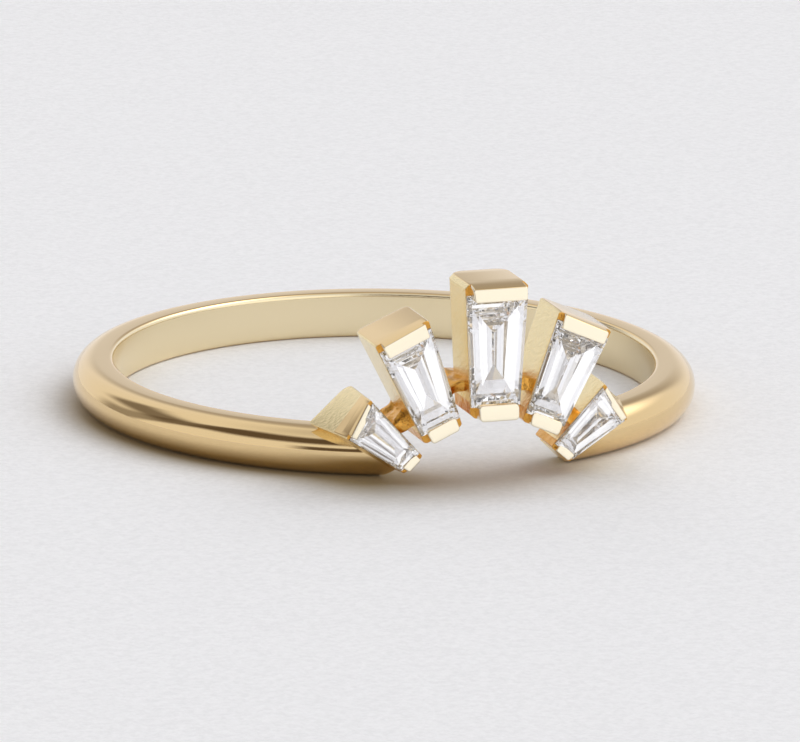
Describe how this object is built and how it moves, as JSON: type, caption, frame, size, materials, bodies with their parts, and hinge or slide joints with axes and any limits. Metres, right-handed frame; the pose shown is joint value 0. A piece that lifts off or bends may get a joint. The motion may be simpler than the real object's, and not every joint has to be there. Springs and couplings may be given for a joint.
{
  "type": "finger ring",
  "caption": "Gold ring with tapered baguette stones fanned over an open arch, so that it nests against another ring.",
  "frame": {"origin": "middle of the finger hole, halfway up the band", "axes": "+Z along the finger hole, towards the wide ends of the fan; -Y towards the stones; X across the fan"},
  "size_m": [0.0198, 0.0213, 0.0065],
  "materials": {
    "gold": "polished 14 carat yellow gold",
    "diamond": "clear step cut diamond"
  },
  "bodies": {
    "root": {"band_and_settings": "gold", "diamond_centre": "diamond", "diamond_inner_left": "diamond", "diamond_inner_right": "diamond", "diamond_outer_left": "diamond", "diamond_outer_right": "diamond"}
  },
  "joints": []
}
